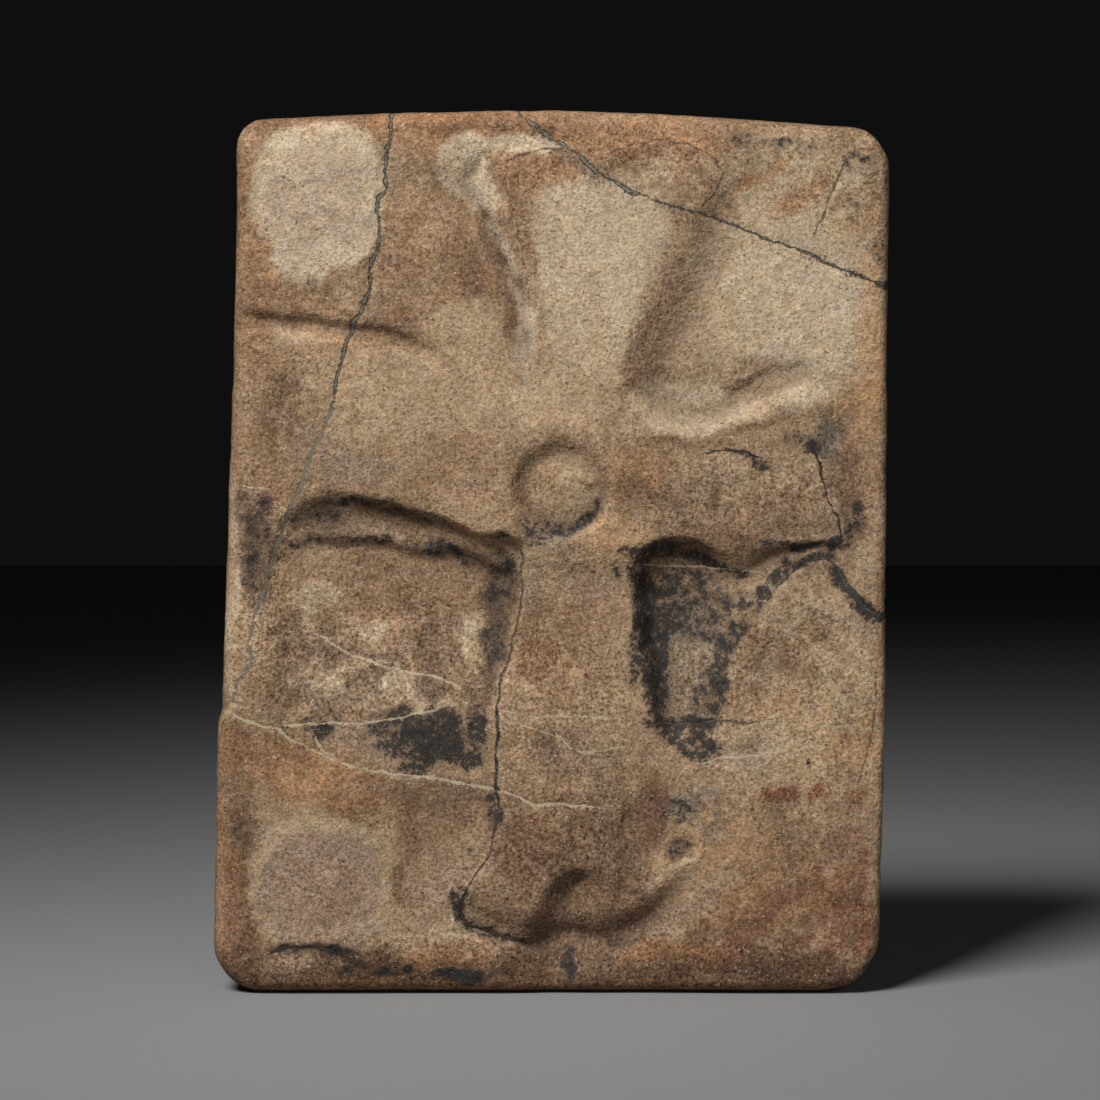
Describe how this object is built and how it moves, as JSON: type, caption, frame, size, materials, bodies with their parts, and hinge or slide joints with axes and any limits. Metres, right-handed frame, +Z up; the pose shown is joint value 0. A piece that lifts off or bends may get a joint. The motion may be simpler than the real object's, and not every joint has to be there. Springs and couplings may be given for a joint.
{
  "type": "carved stone plaque",
  "caption": "Thick upright sandstone plaque with worn, rounded edges and a flared cross in low relief that ends in a two-lobed foot.",
  "frame": {"origin": "middle of the slab's underside, where it stands", "axes": "+Z up along the slab's height, +X to the right of a viewer who faces the carving, and the carved face looks along -Y"},
  "size_m": [0.1688, 0.049, 0.2222],
  "materials": {
    "sandstone": "matt, fine-grained weathered sandstone, light brown with darker stains"
  },
  "bodies": {
    "root": {"plaque": "sandstone"}
  },
  "joints": []
}
